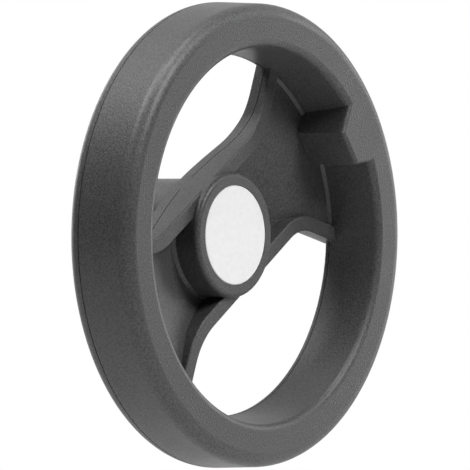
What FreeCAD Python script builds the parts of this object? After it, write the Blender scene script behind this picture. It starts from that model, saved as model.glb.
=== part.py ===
import FreeCAD, Part
import math
import os
import Sketcher

# Two-spoke machine handwheel in glass fibre filled plastic.
# The axis lies along Y and the wheel stands upright, with its operator side towards -Y.
# The origin is on the axis, in the plane of the moulded back face of the hub.
# Depths are counted from the flat front of the rim towards the back, and radii from the axis.

os.makedirs("parts", exist_ok=True)
doc = FreeCAD.newDocument("handwheel")

# Driving dimensions, in millimetres and degrees.
SIZES = [
    ("rim_radius", 79.8),
    ("rim_section", 17.6),
    ("rim_outer_draft", 3.0),
    ("rim_inner_draft", 6.2),
    ("rim_back_slope", 17.0),
    ("rim_land", 0.1),
    ("rim_wall", 3.5),
    ("outer_round", 4.8),
    ("inner_round", 2.5),
    ("lip_round", 1.0),
    ("seam_depth", 20.2),
    ("seam_gap", 0.3),
    ("seam_gap_reach", 1.2),
    ("fit_clearance", 0.1),
    ("spigot_height", 1.4),
    ("hub_depth", 50.0),
    ("hub_rise", 5.2),
    ("hub_wall", 4.3),
    ("hub_step", 2.1),
    ("hub_round", 1.7),
    ("hub_back_wall", 5.9),
    ("hub_back_bevel", 0.8),
    ("hub_root_round", 1.5),
    ("web_fall", 7.5),
    ("web_flat_width", 14.0),
    ("web_bend", 40.0),
    ("web_thickness", 3.9),
    ("web_overlap", 0.9),
    ("rib_width", 5.2),
    ("rib_height", 2.6),
    ("rib_end_height", 0.4),
    ("rib_ramp_length", 11.3),
    ("rib_ramp_bend", 30.0),
    ("rib_round", 0.6),
    ("edge_slope", 34.3),
    ("edge_inset", 0.3),
    ("tail_slope", 70.0),
    ("tail_reach", 1.7),
    ("head_slope", 13.0),
    ("head_reach", 12.1),
    ("bend_radius", 26.0),
    ("head_radius", 15.0),
    ("floor_rise", 0.4),
    ("floor_hub_fall", 5.1),
    ("bead_size", 1.0),
    ("boss_offset", 5.0),
    ("boss_angle", 34.2),
    ("boss_turn", 7.5),
    ("boss_across", 23.9),
    ("boss_round", 1.4),
    ("spokes", 2),
    ("cap_thickness", 2.2),
    ("cap_bevel", 0.3),
    ("cap_lip", 1.6),
    ("cap_skirt_wall", 1.4),
    ("cap_skirt_length", 4.4),
    ("cap_bead", 0.5),
    ("cap_slot_width", 3.0),
    ("cap_slots", 4),
    ("bush_radius", 13.5),
    ("bush_rise", 4.0),
    ("bush_proud", 0.5),
    ("bush_chamfer", 0.5),
    ("bush_key_cut", 1.9),
    ("bush_key_inset", 16.0),
    ("bush_key_length", 9.0),
    ("bore_radius", 8.0),
]

# Sizes that follow from the driving ones. Each formula reads the sheet above.
DERIVED = [
    ("outer_taper", "tan(Sizes.rim_outer_draft)"),
    ("inner_taper", "tan(Sizes.rim_inner_draft)"),
    ("rim_front_radius", "Sizes.rim_radius - outer_taper * Sizes.seam_depth"),
    ("rim_inner_radius", "Sizes.rim_radius - Sizes.rim_section"),
    ("rim_inner_front_radius", "rim_inner_radius + inner_taper * Sizes.seam_depth"),
    ("rim_back_corner", "(90 - Sizes.rim_back_slope - Sizes.rim_outer_draft) / 2"),
    ("rim_back_outer_depth", "Sizes.seam_depth + Sizes.rim_land + Sizes.outer_round / tan(rim_back_corner)"),
    ("rim_back_outer", "rim_front_radius + outer_taper * rim_back_outer_depth"),
    ("rim_back_fall", "(rim_back_outer - rim_inner_radius) * tan(Sizes.rim_back_slope)"),
    ("rim_back_inner_depth", "rim_back_outer_depth - rim_back_fall"),
    ("rim_back_inner", "rim_inner_front_radius - inner_taper * rim_back_inner_depth"),
    ("hub_back_radius", "Sizes.bush_radius + Sizes.hub_back_wall"),
    ("hub_radius", "hub_back_radius + Sizes.hub_step"),
    ("cap_radius", "hub_radius - Sizes.hub_wall - Sizes.fit_clearance"),
    ("hub_front_depth", "Sizes.seam_depth - Sizes.hub_rise"),
    ("hub_seat_depth", "Sizes.seam_depth + Sizes.web_fall"),
    ("hub_root_depth", "hub_seat_depth + Sizes.web_thickness"),
    ("web_radius", "rim_inner_radius + Sizes.rim_wall / 2"),
    ("web_flat_radius", "rim_inner_radius - Sizes.web_flat_width"),
    ("web_proud", "Sizes.seam_depth + Sizes.web_thickness - rim_back_inner_depth"),
    ("web_reach", "rim_back_inner + web_proud / tan(Sizes.rim_back_slope) + Sizes.web_overlap"),
    ("rib_front_depth", "Sizes.seam_depth - Sizes.rib_height"),
    ("rib_end_depth", "Sizes.seam_depth - Sizes.rib_end_height"),
    ("rib_ramp_radius", "web_radius - Sizes.rib_ramp_length"),
    ("floor_depth", "Sizes.seam_depth - Sizes.floor_rise"),
    ("floor_hub_depth", "Sizes.seam_depth + Sizes.floor_hub_fall"),
    ("floor_inset", "Sizes.rib_width + Sizes.fit_clearance"),
    ("spigot_depth", "Sizes.seam_depth - Sizes.spigot_height"),
    ("edge_reach", "hub_radius - Sizes.edge_inset"),
    ("head_out", "-Sizes.head_slope"),
    ("head_in", "180 - Sizes.head_slope"),
    ("edge_out", "Sizes.edge_slope"),
    ("edge_in", "Sizes.edge_slope - 180"),
    ("edge_across", "Sizes.edge_slope - 90"),
    ("tail_in", "Sizes.tail_slope"),
    ("tail_out", "Sizes.tail_slope - 180"),
    ("rib_edge_reach", "edge_reach - Sizes.rib_width"),
    ("rib_tail_reach", "Sizes.tail_reach + Sizes.rib_width"),
    ("rib_head_reach", "Sizes.head_reach + Sizes.rib_width"),
    ("floor_edge_reach", "edge_reach - floor_inset"),
    ("floor_tail_reach", "Sizes.tail_reach + floor_inset"),
    ("floor_head_reach", "Sizes.head_reach + floor_inset"),
    ("boss_top_in", "Sizes.boss_turn + 180"),
    ("boss_nose_in", "Sizes.boss_turn + 240"),
    ("boss_nose_out", "Sizes.boss_turn + 300"),
    ("boss_foot_out", "Sizes.boss_turn"),
    ("boss_radius", "rim_inner_radius + Sizes.boss_offset"),
    ("boss_merge_radius", "(rim_front_radius + rim_inner_front_radius) / 2"),
    ("boss_lift", "boss_radius * sin(Sizes.boss_angle - Sizes.boss_turn)"),
    ("boss_stretch", "boss_radius * cos(Sizes.boss_angle - Sizes.boss_turn - 30)"),
    ("boss_fall", "boss_radius * cos(Sizes.boss_angle - Sizes.boss_turn + 30)"),
    ("boss_top_reach", "boss_lift + Sizes.boss_across / 2"),
    ("boss_nose_reach", "boss_fall - Sizes.boss_across / 2"),
    ("boss_chin_reach", "boss_stretch - Sizes.boss_across / 2"),
    ("boss_foot_reach", "boss_lift - Sizes.boss_across / 2"),
    ("core_nose_reach", "boss_nose_reach + Sizes.rim_wall"),
    ("core_chin_reach", "boss_chin_reach + Sizes.rim_wall"),
    ("core_foot_reach", "boss_foot_reach + Sizes.rim_wall"),
    ("boss_wall_radius", "rim_inner_radius + Sizes.rim_wall"),
    ("boss_end_depth", "floor_depth - Sizes.seam_gap"),
    ("cap_skirt_radius", "cap_radius - Sizes.cap_lip"),
    ("cap_seat_depth", "hub_front_depth + Sizes.cap_thickness"),
    ("skirt_end_depth", "cap_seat_depth + Sizes.cap_skirt_length"),
    ("bead_depth", "skirt_end_depth - 2 * Sizes.cap_bead"),
    ("bush_front_depth", "hub_seat_depth - Sizes.bush_rise"),
    ("bush_key_corner", "(Sizes.bush_radius - Sizes.bush_key_cut) * 2 / sqrt(3)"),
    ("bush_key_depth", "Sizes.hub_depth - Sizes.bush_key_inset"),
    ("bush_end_depth", "Sizes.hub_depth + Sizes.bush_proud"),
]


def fill_sheet(name, rows):
    """Write rows of (alias, content) in a spreadsheet and return it."""
    sheet = doc.addObject("Spreadsheet::Sheet", name)
    for number, (alias, content) in enumerate(rows, 1):
        sheet.set(f"A{number}", alias)
        sheet.set(f"B{number}", str(content))
        sheet.setAlias(f"B{number}", alias)
    doc.recompute()
    return sheet


sizes = fill_sheet("Sizes", SIZES)
derived = fill_sheet("Derived", [(alias, "=" + formula) for alias, formula in DERIVED])


def number(name):
    """Value of a name such as Sizes.rim_radius or Derived.web_radius, or of a plain figure."""
    sheet, _, alias = name.partition(".")
    if not alias:
        return float(sheet)
    return float((sizes if sheet == "Sizes" else derived).get(alias))


def new_body(name):
    body = doc.addObject("PartDesign::Body", name)
    body.Label = name
    body.AllowCompound = True
    return body


def plane(body, role):
    return next(item for item in body.Origin.OriginFeatures if item.Role == role)


def new_sketch(body, name, role):
    sketch = body.newObject("Sketcher::SketchObject", name)
    sketch.AttachmentSupport = [(plane(body, role), "")]
    sketch.MapMode = "FlatFace"
    return sketch


def bind(sketch, constraint, expression):
    index = sketch.addConstraint(constraint)
    sketch.setExpression(f"Constraints[{index}]", expression)


def chain(sketch, lines):
    """Join lines end to end in a closed loop."""
    first = sketch.GeometryCount
    sketch.addGeometry(lines, False)
    for k in range(len(lines)):
        following = first + (k + 1) % len(lines)
        sketch.addConstraint(Sketcher.Constraint("Coincident", first + k, 2, following, 1))
    return first


def polygon(sketch, corners):
    """Closed straight-sided loop whose corners are pairs of formulas."""
    count = len(corners)
    turns = [math.tau * k / count for k in range(count)]
    rough = [FreeCAD.Vector(math.cos(turn), math.sin(turn), 0) for turn in turns]
    first = chain(sketch, [Part.LineSegment(rough[k], rough[(k + 1) % count]) for k in range(count)])
    for k, (across, along) in enumerate(corners):
        bind(sketch, Sketcher.Constraint("DistanceX", -1, 1, first + k, 1, 1.0), across)
        bind(sketch, Sketcher.Constraint("DistanceY", -1, 1, first + k, 1, 1.0), along)


def section(body, name, corners):
    """Half section through the axis. A corner is a radius, a depth and, if it is rounded, a rounding."""
    sketch = new_sketch(body, name, "XY_Plane")
    polygon(sketch, [(corner[0], f"{corner[1]} - Sizes.hub_depth") for corner in corners])
    doc.recompute()
    for k, corner in enumerate(corners):
        if len(corner) == 3:
            bend = sketch.GeometryCount
            sketch.fillet(k, 1, number(corner[2]), True, True)
            bind(sketch, Sketcher.Constraint("Radius", bend, number(corner[2])), corner[2])
    return sketch


def face_sketch(body, name, depth):
    """Sketch square to the axis at a depth. Its own axes are X and Z."""
    sketch = new_sketch(body, name, "XZ_Plane")
    sketch.setExpression(".AttachmentOffset.Base.z", f"Sizes.hub_depth - {depth}")
    return sketch


def outline(body, name, depth, walls, arc_radius):
    """Closed loop of straight walls and arcs about the axis, walked with the inside on the left.

    Each wall is (heading, reach, side, rounding): its direction, its distance from the axis, +1 where
    the axis lies on its right and -1 where it lies on its left, and the radius of the corner at its
    end. None in place of a wall is an arc, and a reach of None is a wall through the axis itself.
    """
    sketch = face_sketch(body, name, depth)
    radius = number(arc_radius)
    count = len(walls)

    def place(wall):
        heading = math.radians(number(wall[0]))
        reach = wall[2] * number(wall[1]) if wall[1] else 0.0
        ahead = FreeCAD.Vector(math.cos(heading), math.sin(heading), 0)
        return ahead, FreeCAD.Vector(-ahead.y, ahead.x, 0), reach

    def corner(wall, following):
        """Where a wall meets the one that follows it, or the arc on either side of it."""
        if wall is None or following is None:
            ahead, left, reach = place(wall or following)
            run = math.sqrt(radius * radius - reach * reach)
            return left * reach + ahead * (run if following is None else -run)
        ahead, left, reach = place(wall)
        next_left, next_reach = place(following)[1:]
        run = (next_reach - reach * left.dot(next_left)) / ahead.dot(next_left)
        return left * reach + ahead * run

    def arc(centre, size, start, end):
        circle = Part.Circle(centre, FreeCAD.Vector(0, 0, 1), size)
        first, last = start - centre, end - centre
        return Part.ArcOfCircle(circle, math.atan2(first.y, first.x), math.atan2(last.y, last.x))

    ends = [corner(walls[k], walls[(k + 1) % count]) for k in range(count)]
    starts = [ends[k - 1] for k in range(count)]
    bends = []
    for k, wall in enumerate(walls):
        if wall is None or wall[3] is None:
            continue
        following = (k + 1) % count
        size = sum(number(term) for term in wall[3].split(" + "))
        ahead, left = place(wall)[:2]
        next_ahead = place(walls[following])[0]
        bend = left.dot(next_ahead)
        run = size * math.tan(math.acos(ahead.dot(next_ahead)) / 2)
        ends[k] = ends[k] - ahead * run
        starts[following] = starts[following] + next_ahead * run
        centre = ends[k] + left * math.copysign(size, bend)
        if bend > 0:
            bends.append((k, following, 1, arc(centre, size, ends[k], starts[following])))
        else:
            bends.append((k, following, 2, arc(centre, size, starts[following], ends[k])))
    rounded = [k for k, following, first, piece in bends]
    pieces = [
        Part.LineSegment(starts[k], ends[k]) if wall else arc(FreeCAD.Vector(), radius, starts[k], ends[k])
        for k, wall in enumerate(walls)
    ]
    sketch.addGeometry(pieces + [piece for k, following, first, piece in bends], False)
    for k, wall in enumerate(walls):
        if k not in rounded:
            sketch.addConstraint(Sketcher.Constraint("Coincident", k, 2, (k + 1) % count, 1))
        if wall is None:
            sketch.addConstraint(Sketcher.Constraint("Coincident", k, 3, -1, 1))
            bind(sketch, Sketcher.Constraint("Radius", k, radius), arc_radius)
            continue
        bind(sketch, Sketcher.Constraint("Angle", k, math.radians(number(wall[0]))), wall[0])
        if wall[1]:
            bind(sketch, Sketcher.Constraint("Distance", -1, 1, k, number(wall[1])), wall[1])
        else:
            sketch.addConstraint(Sketcher.Constraint("PointOnObject", -1, 1, k))
    for place_of, (k, following, first, piece) in enumerate(bends, count):
        sketch.addConstraint(Sketcher.Constraint("Tangent", k, 2, place_of, first))
        sketch.addConstraint(Sketcher.Constraint("Tangent", place_of, 3 - first, following, 1))
        bind(sketch, Sketcher.Constraint("Radius", place_of, piece.Radius), walls[k][3])
    return sketch


def turn(body, kind, name, corners):
    """Revolution or Groove of a half section about the wheel's axis."""
    sketch = section(body, name + "_section", corners)
    feature = body.newObject("PartDesign::" + kind, name)
    feature.Profile = sketch
    feature.ReferenceAxis = (sketch, ["V_Axis"])
    feature.Angle = 360.0
    body.Tip = feature
    doc.recompute()
    return feature


def pad(body, name, sketch, length):
    """Pad that runs from its sketch towards the back of the wheel."""
    feature = body.newObject("PartDesign::Pad", name)
    feature.Profile = sketch
    feature.setExpression("Length", length)
    feature.Reversed = True
    body.Tip = feature
    doc.recompute()
    return feature


def pocket(body, name, sketch, length):
    """Pocket that cuts from its sketch towards the back of the wheel."""
    before = body.Shape.Volume
    feature = body.newObject("PartDesign::Pocket", name)
    feature.Profile = sketch
    feature.setExpression("Length", length)
    body.Tip = feature
    doc.recompute()
    if feature.Shape.Volume >= before:
        raise RuntimeError(f"{name} cuts nothing")
    return feature


def around(body, name, originals, occurrences):
    """Copies of features spaced evenly about the wheel's axis."""
    feature = body.newObject("PartDesign::PolarPattern", name)
    feature.Originals = originals
    feature.Axis = (plane(body, "Y_Axis"), [""])
    feature.Angle = 360.0
    feature.setExpression("Occurrences", occurrences)
    body.Tip = feature
    doc.recompute()
    return feature


def join(body, name, other):
    """Fuse another body into this one."""
    before = body.Shape.Volume
    feature = body.newObject("PartDesign::Boolean", name)
    feature.Type = "Fuse"
    feature.addObjects([other])
    body.Tip = feature
    doc.recompute()
    if feature.Shape.Volume <= before:
        raise RuntimeError(f"{name} adds nothing")
    return feature


def dress(body, kind, name, wanted, radius):
    """Fillet or Chamfer of the edges that wanted picks."""
    base = body.Tip
    names = [f"Edge{k}" for k, edge in enumerate(base.Shape.Edges, 1) if wanted(edge)]
    if not names:
        raise RuntimeError(f"{name} finds no edge")
    feature = body.newObject("PartDesign::" + kind, name)
    feature.Base = (base, names)
    feature.setExpression("Size" if kind == "Chamfer" else "Radius", radius)
    body.Tip = feature
    doc.recompute()
    return feature


TOLERANCE = 1e-4


def level(depth):
    """Y of a depth."""
    return number(depth) - number("Sizes.hub_depth")


def at_depth(edge, depth):
    """True where the whole edge lies in the plane at a depth."""
    return all(abs(point.y - level(depth)) < TOLERANCE for point in edge.discretize(5))


def ring_at(radius, depth):
    """Test for the circular edges of a radius about the axis at a depth."""
    def wanted(edge):
        if not at_depth(edge, depth) or not isinstance(edge.Curve, Part.Circle):
            return False
        centre = edge.Curve.Center
        on_axis = math.hypot(centre.x, centre.z) < TOLERANCE
        return on_axis and abs(edge.Curve.Radius - number(radius)) < TOLERANCE
    return wanted


# Walls of the lower window, walked with the window on the left.
WINDOW_WALLS = [
    ("Derived.head_in", "Sizes.head_reach", -1, "Sizes.head_radius"),
    ("Derived.edge_in", "Derived.edge_reach", 1, "Sizes.bend_radius"),
    ("Derived.tail_out", "Sizes.tail_reach", -1, None),
    None,
]

# The rib along those walls, walked with the rib on the left.
RIB_WALLS = [
    ("Derived.tail_in", "Sizes.tail_reach", 1, "Sizes.bend_radius"),
    ("Derived.edge_out", "Derived.edge_reach", -1, "Sizes.head_radius"),
    ("Derived.head_out", "Sizes.head_reach", 1, None),
    None,
    ("Derived.head_in", "Derived.rib_head_reach", -1, "Sizes.head_radius + Sizes.rib_width"),
    ("Derived.edge_in", "Derived.rib_edge_reach", 1, "Sizes.bend_radius + Sizes.rib_width"),
    ("Derived.tail_out", "Derived.rib_tail_reach", -1, None),
    None,
]

# Walls of the raised floor in the upper dish, walked with the floor on the left.
FLOOR_WALLS = [
    ("Derived.edge_out", "Derived.floor_edge_reach", -1, "Sizes.head_radius + Derived.floor_inset"),
    ("Derived.head_out", "Derived.floor_head_reach", 1, None),
    None,
    ("Derived.tail_out", "Derived.floor_tail_reach", 1, "Sizes.bend_radius + Derived.floor_inset"),
    ("Derived.edge_in", "Derived.floor_edge_reach", -1, None),
    ("Derived.edge_across", None, 1, None),
]

# Walls of the hexagonal boss and of the core inside it. The top wall shows on the front face only.
BOSS_TOP = ("Derived.boss_top_in", "Derived.boss_top_reach", -1, None)
BOSS_WALLS = [
    ("Derived.boss_nose_in", "Derived.boss_nose_reach", 1, None),
    ("Derived.boss_nose_out", "Derived.boss_chin_reach", 1, None),
    ("Derived.boss_foot_out", "Derived.boss_foot_reach", 1, None),
]
CORE_WALLS = [
    ("Derived.boss_nose_in", "Derived.core_nose_reach", 1, None),
    ("Derived.boss_nose_out", "Derived.core_chin_reach", 1, None),
    ("Derived.boss_foot_out", "Derived.core_foot_reach", 1, None),
]


def outer_at(depth):
    """Formula of the rim's outside radius at a depth."""
    return f"Derived.rim_front_radius + Derived.outer_taper * {depth}"


def inner_at(depth):
    """Formula of the rim's inside radius at a depth."""
    return f"Derived.rim_inner_front_radius - Derived.inner_taper * {depth}"


def front_edge_of_rib(edge):
    """True for the long edges that bound the front of a rib, on the flat and on the ramp."""
    points = edge.discretize(5)
    if max(point.y for point in points) > level("Derived.rib_end_depth") + TOLERANCE:
        return False
    reaches = [math.hypot(point.x, point.z) for point in points]
    on_joint_plane = max(abs(point.z) for point in points) < TOLERANCE
    return max(reaches) - min(reaches) > 1.0 and not on_joint_plane


def front_edge_of_boss(edge):
    """True for the three straight front edges of the boss that stand clear of the rim."""
    points = edge.discretize(5)
    if not isinstance(edge.Curve, Part.Line) or not at_depth(edge, "0"):
        return False
    return min(math.hypot(point.x, point.z) for point in points) < number("Derived.rim_inner_front_radius")


def build_boss():
    """Solid hexagonal boss with a rounded front, ready to be fused with the rim and cored."""
    body = new_body("boss_body")
    top_walls = [None, BOSS_TOP] + BOSS_WALLS
    top_face = outline(body, "boss_top_outline", "0", top_walls, "Derived.boss_merge_radius")
    pad(body, "boss_top", top_face, "Sizes.rim_wall")
    wall_face = outline(body, "boss_outline", "0", [None] + BOSS_WALLS, "Derived.boss_wall_radius")
    pad(body, "boss", wall_face, "Derived.boss_end_depth")
    rim_side = "Derived.rim_inner_radius - Sizes.fit_clearance"
    turn(body, "Groove", "bead_room", [
        (f"{rim_side} - Sizes.bead_size", "Derived.boss_end_depth"),
        (rim_side, "(Derived.boss_end_depth - Sizes.bead_size)"),
        ("Derived.web_radius", "(Derived.boss_end_depth - Sizes.bead_size)"),
        ("Derived.web_radius", "Derived.floor_depth"),
        (f"{rim_side} - Sizes.bead_size", "Derived.floor_depth"),
    ])
    dress(body, "Fillet", "boss_round", front_edge_of_boss, "Sizes.boss_round")
    return body


def build_front_shell():
    """Front moulding: rim channel, four window ribs, hub tube and grip boss."""
    body = new_body("front_shell")

    rib_face = outline(body, "rib_outline", "Derived.rib_front_depth", RIB_WALLS, "Derived.web_radius")
    rib = pad(body, "rib", rib_face, "Derived.hub_seat_depth - Derived.rib_front_depth")
    around(body, "ribs", [rib], "Sizes.spokes")
    turn(body, "Groove", "rib_ramp", [
        ("Derived.rib_ramp_radius", "Derived.rib_front_depth", "Sizes.rib_ramp_bend"),
        ("Derived.web_radius", "Derived.rib_end_depth"),
        ("Sizes.rim_radius", "Derived.rib_end_depth"),
        ("Sizes.rim_radius", "Derived.hub_front_depth"),
        ("Derived.rib_ramp_radius", "Derived.hub_front_depth"),
    ])
    dress(body, "Fillet", "rib_round", front_edge_of_rib, "Sizes.rib_round")
    turn(body, "Groove", "joint_face", [
        ("0", "(Derived.hub_seat_depth - Sizes.seam_gap)"),
        ("Derived.hub_radius", "(Derived.hub_seat_depth - Sizes.seam_gap)"),
        ("Derived.web_flat_radius", "(Sizes.seam_depth - Sizes.seam_gap)", "Sizes.web_bend"),
        ("Sizes.rim_radius", "(Sizes.seam_depth - Sizes.seam_gap)"),
        ("Sizes.rim_radius", "Sizes.hub_depth"),
        ("0", "Sizes.hub_depth"),
    ])
    tube_hole = "Derived.cap_radius + Sizes.fit_clearance"
    turn(body, "Groove", "hub_room", [
        ("0", "Derived.rib_front_depth"),
        (tube_hole, "Derived.rib_front_depth"),
        (tube_hole, "Derived.hub_seat_depth"),
        ("0", "Derived.hub_seat_depth"),
    ])
    skirt_hole = "Derived.cap_skirt_radius + Sizes.fit_clearance"
    turn(body, "Revolution", "hub_tube", [
        (tube_hole, "Derived.hub_front_depth"),
        ("Derived.hub_radius", "Derived.hub_front_depth"),
        ("Derived.hub_radius", "Derived.hub_seat_depth"),
        (tube_hole, "Derived.hub_seat_depth"),
        (tube_hole, "(Derived.bush_front_depth - Sizes.fit_clearance)"),
        (skirt_hole, "(Derived.bush_front_depth - Sizes.fit_clearance)"),
        (skirt_hole, "(Derived.bead_depth + Sizes.cap_bead)"),
        (f"{skirt_hole} + Sizes.cap_bead", "Derived.bead_depth"),
        (skirt_hole, "(Derived.bead_depth - Sizes.cap_bead)"),
        (skirt_hole, "Derived.cap_seat_depth"),
        (tube_hole, "Derived.cap_seat_depth"),
    ])
    front_edge = ring_at("Derived.hub_radius", "Derived.hub_front_depth")
    dress(body, "Fillet", "hub_round", front_edge, "Sizes.hub_round")
    inside_outer = f"{outer_at('Sizes.seam_depth')} - Sizes.rim_wall"
    inside_inner = f"{inner_at('Sizes.seam_depth')} + Sizes.rim_wall"
    turn(body, "Revolution", "rim_channel", [
        ("Derived.rim_inner_front_radius", "0"),
        ("Derived.rim_front_radius", "0"),
        (outer_at("(Sizes.seam_depth - Sizes.seam_gap)"), "(Sizes.seam_depth - Sizes.seam_gap)"),
        ("Sizes.rim_radius - Sizes.seam_gap_reach", "(Sizes.seam_depth - Sizes.seam_gap)"),
        ("Sizes.rim_radius - Sizes.seam_gap_reach", "Sizes.seam_depth"),
        (inside_outer, "Sizes.seam_depth"),
        ("Derived.rim_front_radius - Sizes.rim_wall", "Sizes.rim_wall"),
        ("Derived.rim_inner_front_radius + Sizes.rim_wall", "Sizes.rim_wall"),
        (inside_inner, "Sizes.seam_depth"),
        ("Derived.rim_inner_radius + Sizes.seam_gap_reach", "Sizes.seam_depth"),
        ("Derived.rim_inner_radius + Sizes.seam_gap_reach", "(Sizes.seam_depth - Sizes.seam_gap)"),
        (inner_at("(Sizes.seam_depth - Sizes.seam_gap)"), "(Sizes.seam_depth - Sizes.seam_gap)"),
    ])
    outer_edge = ring_at("Derived.rim_front_radius", "0")
    dress(body, "Fillet", "rim_outer_round", outer_edge, "Sizes.outer_round")
    inner_edge = ring_at("Derived.rim_inner_front_radius", "0")
    dress(body, "Fillet", "rim_inner_round", inner_edge, "Sizes.inner_round")
    join(body, "boss_join", build_boss())
    core_walls = [None] + CORE_WALLS
    core_face = outline(body, "boss_core_outline", "Sizes.rim_wall", core_walls, "Derived.rim_inner_radius")
    pocket(body, "boss_core", core_face, "Derived.boss_end_depth")
    return body


def build_rim_ring():
    """Ring that closes the rim from behind, with a low rib that centres it in the channel."""
    body = new_body("rim_ring_body")
    spigot_outer = f"{outer_at('Derived.spigot_depth')} - Sizes.rim_wall - Sizes.fit_clearance"
    spigot_inner = f"{inner_at('Derived.spigot_depth')} + Sizes.rim_wall + Sizes.fit_clearance"
    turn(body, "Revolution", "rim_ring", [
        ("Derived.rim_inner_radius", "Sizes.seam_depth"),
        (spigot_inner, "Sizes.seam_depth"),
        (spigot_inner, "Derived.spigot_depth"),
        (spigot_outer, "Derived.spigot_depth"),
        (spigot_outer, "Sizes.seam_depth"),
        ("Sizes.rim_radius", "Sizes.seam_depth"),
        ("Derived.rim_back_outer", "Derived.rim_back_outer_depth", "Sizes.outer_round"),
        ("Derived.rim_back_inner", "Derived.rim_back_inner_depth", "Sizes.lip_round"),
    ])
    return body


def build_back_shell():
    """Back moulding: rim closing ring, sloping web with the raised dish floors, and the long hub."""
    body = new_body("back_shell")
    floor_face = outline(body, "floor_outline", "Derived.hub_front_depth", FLOOR_WALLS, "Derived.web_radius")
    floor = pad(body, "floor", floor_face, "Sizes.hub_depth - Derived.hub_front_depth")
    around(body, "floors", [floor], "Sizes.spokes")
    hub_side = "Derived.hub_radius + Sizes.fit_clearance"
    rim_side = "Derived.rim_inner_radius - Sizes.fit_clearance"
    turn(body, "Groove", "floor_face", [
        ("0", "Sizes.hub_depth"),
        (hub_side, "Sizes.hub_depth"),
        (hub_side, "(Derived.floor_hub_depth - Sizes.bead_size)"),
        (f"{hub_side} + Sizes.bead_size", "Derived.floor_hub_depth"),
        ("Derived.web_flat_radius", "Derived.floor_depth", "Sizes.web_bend"),
        (f"{rim_side} - Sizes.bead_size", "Derived.floor_depth"),
        (rim_side, "(Derived.floor_depth - Sizes.bead_size)"),
        (rim_side, "Sizes.seam_depth"),
        ("Sizes.rim_radius", "Sizes.seam_depth"),
        ("Sizes.rim_radius", "0"),
        ("0", "0"),
    ])
    turn(body, "Groove", "floor_back", [
        ("0", "(Derived.hub_seat_depth + Sizes.web_thickness / 2)"),
        ("Derived.hub_radius", "(Derived.hub_seat_depth + Sizes.web_thickness / 2)"),
        ("Derived.web_flat_radius", "(Sizes.seam_depth + Sizes.web_thickness / 2)"),
        ("Sizes.rim_radius", "(Sizes.seam_depth + Sizes.web_thickness / 2)"),
        ("Sizes.rim_radius", "(Sizes.hub_depth + Sizes.web_thickness)"),
        ("0", "(Sizes.hub_depth + Sizes.web_thickness)"),
    ])
    turn(body, "Revolution", "web", [
        ("Sizes.bush_radius", "Derived.hub_seat_depth"),
        ("Derived.hub_radius", "Derived.hub_seat_depth"),
        ("Derived.web_flat_radius", "Sizes.seam_depth", "Sizes.web_bend"),
        ("Derived.web_reach", "Sizes.seam_depth"),
        ("Derived.web_reach", "(Sizes.seam_depth + Sizes.web_thickness)"),
        ("Derived.web_flat_radius", "(Sizes.seam_depth + Sizes.web_thickness)", "Sizes.web_bend"),
        ("Derived.hub_radius", "(Derived.hub_seat_depth + Sizes.web_thickness)"),
        ("Sizes.bush_radius", "(Derived.hub_seat_depth + Sizes.web_thickness)"),
    ])
    window_face = outline(body, "window_outline", "Derived.hub_front_depth", WINDOW_WALLS, "Sizes.rim_radius")
    window = pocket(body, "window", window_face, "Sizes.hub_depth")
    around(body, "windows", [window], "Sizes.spokes")
    join(body, "rim_join", build_rim_ring())
    hub_shoulder = "(Derived.hub_seat_depth + Sizes.web_thickness / 2)"
    turn(body, "Revolution", "hub", [
        ("Sizes.bush_radius", "Derived.bush_front_depth"),
        ("Derived.cap_radius", "Derived.bush_front_depth"),
        ("Derived.cap_radius", hub_shoulder),
        ("Derived.hub_back_radius", hub_shoulder),
        ("Derived.hub_back_radius", "Sizes.hub_depth"),
        ("Sizes.bush_radius", "Sizes.hub_depth"),
    ])
    root_edge = ring_at("Derived.hub_back_radius", "Derived.hub_root_depth")
    dress(body, "Fillet", "hub_root_round", root_edge, "Sizes.hub_root_round")
    back_edge = ring_at("Derived.hub_back_radius", "Sizes.hub_depth")
    dress(body, "Chamfer", "hub_back_bevel", back_edge, "Sizes.hub_back_bevel")
    key = face_sketch(body, "key_outline", "Derived.bush_key_depth")
    key_ring(key)
    pad(body, "key", key, "Sizes.bush_key_length")
    return body


def key_ring(sketch):
    """Ring outside the hexagon that keys the bush in the hub."""
    corner = "Derived.bush_key_corner"
    polygon(sketch, [(f"{corner} * cos({60 * k})", f"{corner} * sin({60 * k})") for k in range(6)])
    circle = sketch.addGeometry(Part.Circle(FreeCAD.Vector(0, 0, 0), FreeCAD.Vector(0, 0, 1), 20.0))
    sketch.addConstraint(Sketcher.Constraint("Coincident", circle, 3, -1, 1))
    middle = "(Sizes.bush_radius + Derived.hub_back_radius) / 2"
    bind(sketch, Sketcher.Constraint("Radius", circle, 20.0), middle)


def build_bush():
    """Steel bush with the bore. A hexagonal waist keys it in the plastic hub."""
    body = new_body("hub_bush")
    turn(body, "Revolution", "bush", [
        ("Sizes.bore_radius", "Derived.bush_front_depth"),
        ("Sizes.bush_radius", "Derived.bush_front_depth"),
        ("Sizes.bush_radius", "Derived.bush_end_depth"),
        ("Sizes.bore_radius", "Derived.bush_end_depth"),
    ])
    key = face_sketch(body, "waist_outline", "Derived.bush_key_depth")
    key_ring(key)
    pocket(body, "waist", key, "Sizes.bush_key_length")
    for name, radius, depth in [
        ("bore_front_chamfer", "Sizes.bore_radius", "Derived.bush_front_depth"),
        ("bore_back_chamfer", "Sizes.bore_radius", "Derived.bush_end_depth"),
    ]:
        dress(body, "Chamfer", name, ring_at(radius, depth), "Sizes.bush_chamfer")
    return body


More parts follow.
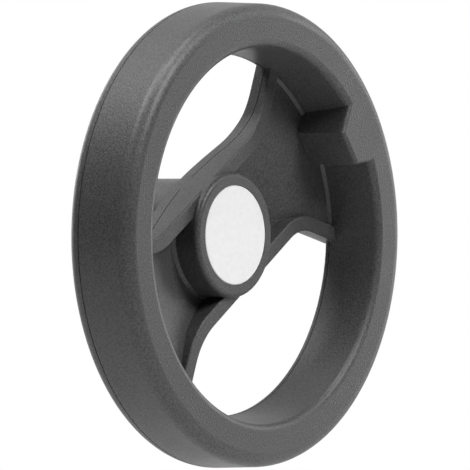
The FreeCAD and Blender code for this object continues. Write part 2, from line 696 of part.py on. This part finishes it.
def build_cap():
    """Light grey cover cap with a slotted skirt that snaps into the hub tube."""
    body = new_body("cover_cap")
    turn(body, "Revolution", "cap", [
        ("0", "Derived.hub_front_depth"),
        ("Derived.cap_radius", "Derived.hub_front_depth"),
        ("Derived.cap_radius", "Derived.cap_seat_depth"),
        ("Derived.cap_skirt_radius", "Derived.cap_seat_depth"),
        ("Derived.cap_skirt_radius", "(Derived.bead_depth - Sizes.cap_bead)"),
        ("Derived.cap_skirt_radius + Sizes.cap_bead", "Derived.bead_depth"),
        ("Derived.cap_skirt_radius", "(Derived.bead_depth + Sizes.cap_bead)"),
        ("Derived.cap_skirt_radius", "Derived.skirt_end_depth"),
        ("Derived.cap_skirt_radius - Sizes.cap_skirt_wall", "Derived.skirt_end_depth"),
        ("Derived.cap_skirt_radius - Sizes.cap_skirt_wall", "Derived.cap_seat_depth"),
        ("0", "Derived.cap_seat_depth"),
    ])
    rim_edge = ring_at("Derived.cap_radius", "Derived.hub_front_depth")
    dress(body, "Chamfer", "cap_bevel", rim_edge, "Sizes.cap_bevel")
    slot_face = face_sketch(body, "slot_outline", "Derived.cap_seat_depth")
    polygon(slot_face, [
        ("Sizes.bore_radius", "-Sizes.cap_slot_width / 2"),
        ("Derived.cap_radius", "-Sizes.cap_slot_width / 2"),
        ("Derived.cap_radius", "Sizes.cap_slot_width / 2"),
        ("Sizes.bore_radius", "Sizes.cap_slot_width / 2"),
    ])
    slot = pocket(body, "slot", slot_face, "Sizes.cap_skirt_length + Sizes.cap_bead")
    around(body, "slots", [slot], "Sizes.cap_slots")
    return body


def check(body):
    """Stop if the body isn't one valid solid."""
    shape = body.Shape
    if shape.isNull() or not shape.isValid() or len(shape.Solids) != 1:
        raise RuntimeError(f"{body.Label} isn't one valid solid")
    print(body.Label, round(shape.Volume), "mm3", len(shape.Faces), "faces")


bodies = [build_front_shell(), build_back_shell(), build_bush(), build_cap()]
doc.recompute()
for item in doc.Objects:
    if "Invalid" in item.State or "Error" in item.State:
        raise RuntimeError(f"{item.Name} failed: {item.State}")
for body in bodies:
    check(body)
    body.Shape.exportStep(f"parts/{body.Label}.step")
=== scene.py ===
import math

import bpy
from mathutils import Matrix, Vector

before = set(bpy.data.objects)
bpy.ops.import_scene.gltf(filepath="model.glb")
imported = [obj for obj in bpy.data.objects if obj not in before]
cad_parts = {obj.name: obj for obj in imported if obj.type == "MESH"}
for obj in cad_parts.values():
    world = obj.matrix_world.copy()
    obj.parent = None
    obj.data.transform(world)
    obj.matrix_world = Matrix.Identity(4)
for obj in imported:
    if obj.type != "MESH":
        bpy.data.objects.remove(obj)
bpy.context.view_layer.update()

# Lengths are in metres in the row frame: the wheel's axis is Y, and its front faces -Y.

# Camera fitted to the photograph: a long lens, looking level from the wheel's front left.
CAMERA_PLACE = Vector((-1.2090, -0.9379, -0.0019))
CAMERA_AIM = Vector((-0.02046, -0.0500, 0.0))
CAMERA_ROLL = math.radians(0.478)
CAMERA_LENS = 337.83
SENSOR_WIDTH = 36.0

# Soft studio lamps: the direction that each one shines from, its power in watts and its width.
LAMP_DISTANCE = 1.6
LAMPS = [
    ("front_top", (0.05, -0.75, 0.67), 15.8, 0.6),
    ("right_top", (0.70, -0.50, 0.50), 3.3, 0.9),
    ("right_low", (0.90, -0.30, 0.10), 5.2, 0.9),
    ("overhead", (-0.10, -0.18, 0.98), 12.0, 0.5),
    ("left_top", (-0.45, 0.20, 0.88), 14.6, 0.7),
    ("back_top", (0.00, 0.60, 0.80), 3.0, 0.9),
    ("back", (0.25, 0.95, 0.20), 6.0, 0.9),
]

# White backdrop as the wheel's gloss shows it: where it stands, its brightness, and the range in which
# it fades in, as the cosine of the angle from its middle.
BACKDROP_DIRECTION = (0.80, 0.60, 0.0)
BACKDROP_IN_REFLECTIONS = 0.8
BACKDROP_FADE = (0.2, 0.9)

FLOOR_HEIGHT = -0.30
FLOOR_SIZE = 2.4
FLOOR_COLOR = (0.76, 0.76, 0.76, 1.0)
# The floor goes over into the white backdrop between these distances from its middle.
FLOOR_FADE = (0.30, 1.00)

# Noise values lie mostly in this range, which the speckle and the sheen are spread over.
NOISE_MIDDLE = (0.35, 0.65)

# Dark and light shade of each material's fine speckle.
PLASTIC_SHADES = ((0.042, 0.042, 0.043, 1.0), (0.092, 0.092, 0.093, 1.0))
STEEL_SHADES = ((0.50, 0.50, 0.51, 1.0), (0.62, 0.62, 0.63, 1.0))
CAP_SHADES = ((0.90, 0.90, 0.90, 1.0), (0.94, 0.94, 0.94, 1.0))


def new_material(name):
    """A material with its node tree, and the object coordinates that its textures use."""
    material = bpy.data.materials.new(name)
    material.use_nodes = True
    tree = material.node_tree
    place = tree.nodes.new("ShaderNodeTexCoord").outputs["Object"]
    return material, tree, tree.nodes["Principled BSDF"], place


def noise(tree, place, scale, detail):
    """Cloudy value between 0 and 1. The scale is the number of cells in a metre."""
    texture = tree.nodes.new("ShaderNodeTexNoise")
    texture.inputs["Scale"].default_value = scale
    texture.inputs["Detail"].default_value = detail
    tree.links.new(place, texture.inputs["Vector"])
    return texture.outputs["Fac"]


def spread(tree, value, low, high):
    """Map the middle of a noise value onto the range from low to high."""
    mapping = tree.nodes.new("ShaderNodeMapRange")
    mapping.inputs["From Min"].default_value = NOISE_MIDDLE[0]
    mapping.inputs["From Max"].default_value = NOISE_MIDDLE[1]
    mapping.inputs["To Min"].default_value = low
    mapping.inputs["To Max"].default_value = high
    tree.links.new(value, mapping.inputs["Value"])
    return mapping.outputs["Result"]


def speckle_color(tree, shader, value, shades):
    """Colour the surface between a dark and a light shade."""
    ramp = tree.nodes.new("ShaderNodeValToRGB")
    for stop, position, shade in zip(ramp.color_ramp.elements, NOISE_MIDDLE, shades):
        stop.position = position
        stop.color = shade
    tree.links.new(value, ramp.inputs["Fac"])
    tree.links.new(ramp.outputs["Color"], shader.inputs["Base Color"])


def relief(tree, shader, height, depth, strength):
    """Raise the surface by the height value, in bump only."""
    bump = tree.nodes.new("ShaderNodeBump")
    bump.inputs["Strength"].default_value = strength
    bump.inputs["Distance"].default_value = depth
    tree.links.new(height, bump.inputs["Height"])
    tree.links.new(bump.outputs["Normal"], shader.inputs["Normal"])


def calculate(tree, operation, first, second):
    """Two values put together by a math node."""
    node = tree.nodes.new("ShaderNodeMath")
    node.operation = operation
    tree.links.new(first, node.inputs[0])
    tree.links.new(second, node.inputs[1])
    return node.outputs["Value"]


def seen_rays(tree):
    """1 for rays from the camera and for those that a surface mirrors or lets through, else 0."""
    path = tree.nodes.new("ShaderNodeLightPath")
    direct = calculate(tree, "MAXIMUM", path.outputs["Is Camera Ray"], path.outputs["Is Transmission Ray"])
    return calculate(tree, "MAXIMUM", direct, path.outputs["Is Glossy Ray"])


def plastic_material():
    """Dark grey glass-filled plastic: an eroded grain, with small light specks."""
    material, tree, shader, place = new_material("dark_plastic")
    grain = noise(tree, place, scale=1600.0, detail=3.0)
    speckle_color(tree, shader, grain, PLASTIC_SHADES)
    sheen = noise(tree, place, scale=60.0, detail=2.0)
    tree.links.new(spread(tree, sheen, low=0.38, high=0.45), shader.inputs["Roughness"])
    shader.inputs["Specular IOR Level"].default_value = 0.5
    relief(tree, shader, grain, depth=0.0002, strength=0.6)
    return material


def steel_material():
    """Turned steel: fine rings about the wheel's axis, uneven in sheen."""
    material, tree, shader, place = new_material("turned_steel")
    rings = tree.nodes.new("ShaderNodeTexWave")
    rings.wave_type = "RINGS"
    rings.rings_direction = "Y"
    rings.inputs["Scale"].default_value = 900.0
    rings.inputs["Distortion"].default_value = 1.0
    tree.links.new(place, rings.inputs["Vector"])
    sheen = noise(tree, place, scale=400.0, detail=3.0)
    speckle_color(tree, shader, sheen, STEEL_SHADES)
    tree.links.new(spread(tree, sheen, low=0.26, high=0.40), shader.inputs["Roughness"])
    shader.inputs["Metallic"].default_value = 1.0
    relief(tree, shader, rings.outputs["Fac"], depth=0.00003, strength=0.3)
    return material


def cap_material():
    """Light satin plastic, nearly smooth."""
    material, tree, shader, place = new_material("light_cap")
    texture = noise(tree, place, scale=700.0, detail=2.0)
    speckle_color(tree, shader, texture, CAP_SHADES)
    tree.links.new(spread(tree, texture, low=0.30, high=0.40), shader.inputs["Roughness"])
    relief(tree, shader, texture, depth=0.00003, strength=0.2)
    return material


def floor_material():
    """Pale floor that catches the wheel's shadow, and far from the wheel shows the white backdrop."""
    material, tree, shader, place = new_material("pale_floor")
    shader.inputs["Base Color"].default_value = FLOOR_COLOR
    shader.inputs["Roughness"].default_value = 0.9
    distance = tree.nodes.new("ShaderNodeVectorMath")
    distance.operation = "LENGTH"
    tree.links.new(place, distance.inputs[0])
    fade = tree.nodes.new("ShaderNodeMapRange")
    fade.interpolation_type = "SMOOTHSTEP"
    fade.inputs["From Min"].default_value = FLOOR_FADE[0]
    fade.inputs["From Max"].default_value = FLOOR_FADE[1]
    tree.links.new(distance.outputs["Value"], fade.inputs["Value"])
    seen = calculate(tree, "MULTIPLY", seen_rays(tree), fade.outputs["Result"])
    white = tree.nodes.new("ShaderNodeEmission")
    mix = tree.nodes.new("ShaderNodeMixShader")
    tree.links.new(seen, mix.inputs[0])
    tree.links.new(shader.outputs["BSDF"], mix.inputs[1])
    tree.links.new(white.outputs["Emission"], mix.inputs[2])
    tree.links.new(mix.outputs["Shader"], tree.nodes["Material Output"].inputs["Surface"])
    return material


def assign(material, names):
    """Give the material to the CAD nodes of these names."""
    for name in names:
        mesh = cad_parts[name].data
        mesh.materials.clear()
        mesh.materials.append(material)


def add_floor():
    """Level floor below the wheel, which isn't part of it."""
    bpy.ops.mesh.primitive_plane_add(size=FLOOR_SIZE, location=(0.0, 0.0, FLOOR_HEIGHT))
    floor = bpy.context.object
    floor.name = "floor"
    floor.data.materials.append(floor_material())


def add_lamp(name, direction, power, width):
    """Square lamp that faces the wheel's centre."""
    data = bpy.data.lights.new(name, "AREA")
    data.shape = "SQUARE"
    data.size = width
    data.energy = power
    lamp = bpy.data.objects.new(name, data)
    toward = Vector(direction).normalized()
    lamp.location = toward * LAMP_DISTANCE
    lamp.rotation_euler = (-toward).to_track_quat("-Z", "Y").to_euler()
    bpy.context.collection.objects.link(lamp)


def backdrop_fade(tree):
    """Brightness of the backdrop in reflections: full at its middle, none on the far side."""
    place = tree.nodes.new("ShaderNodeTexCoord")
    along = tree.nodes.new("ShaderNodeVectorMath")
    along.operation = "DOT_PRODUCT"
    along.inputs[1].default_value = BACKDROP_DIRECTION
    tree.links.new(place.outputs["Generated"], along.inputs[0])
    fade = tree.nodes.new("ShaderNodeMapRange")
    fade.inputs["From Min"].default_value = BACKDROP_FADE[0]
    fade.inputs["From Max"].default_value = BACKDROP_FADE[1]
    fade.inputs["To Max"].default_value = BACKDROP_IN_REFLECTIONS
    tree.links.new(along.outputs["Value"], fade.inputs["Value"])
    return fade.outputs["Result"]


def add_world():
    """White backdrop to the camera and through clear surfaces. It gives no light of its own."""
    world = bpy.data.worlds.new("studio")
    world.use_nodes = True
    tree = world.node_tree
    tree.nodes.clear()
    path = tree.nodes.new("ShaderNodeLightPath")
    seen = calculate(tree, "MAXIMUM", path.outputs["Is Camera Ray"], path.outputs["Is Transmission Ray"])
    mirrored = calculate(tree, "MULTIPLY", path.outputs["Is Glossy Ray"], backdrop_fade(tree))
    white = tree.nodes.new("ShaderNodeBackground")
    white.inputs["Color"].default_value = (1.0, 1.0, 1.0, 1.0)
    tree.links.new(calculate(tree, "MAXIMUM", seen, mirrored), white.inputs["Strength"])
    out = tree.nodes.new("ShaderNodeOutputWorld")
    tree.links.new(white.outputs["Background"], out.inputs["Surface"])
    bpy.context.scene.world = world


def add_camera():
    """Camera at its place, turned to its aim and then rolled."""
    data = bpy.data.cameras.new("camera")
    data.lens = CAMERA_LENS
    data.sensor_width = SENSOR_WIDTH
    data.clip_start = 0.05
    data.clip_end = 100.0
    camera = bpy.data.objects.new("camera", data)
    level = (CAMERA_AIM - CAMERA_PLACE).to_track_quat("-Z", "Y").to_matrix().to_4x4()
    camera.matrix_world = Matrix.Translation(CAMERA_PLACE) @ level @ Matrix.Rotation(CAMERA_ROLL, 4, "Z")
    bpy.context.collection.objects.link(camera)
    bpy.context.scene.camera = camera


assign(plastic_material(), ["front_shell", "back_shell"])
assign(steel_material(), ["hub_bush"])
assign(cap_material(), ["cover_cap"])
add_floor()
add_world()
for lamp in LAMPS:
    add_lamp(*lamp)
add_camera()
bpy.context.scene.view_settings.view_transform = "Standard"
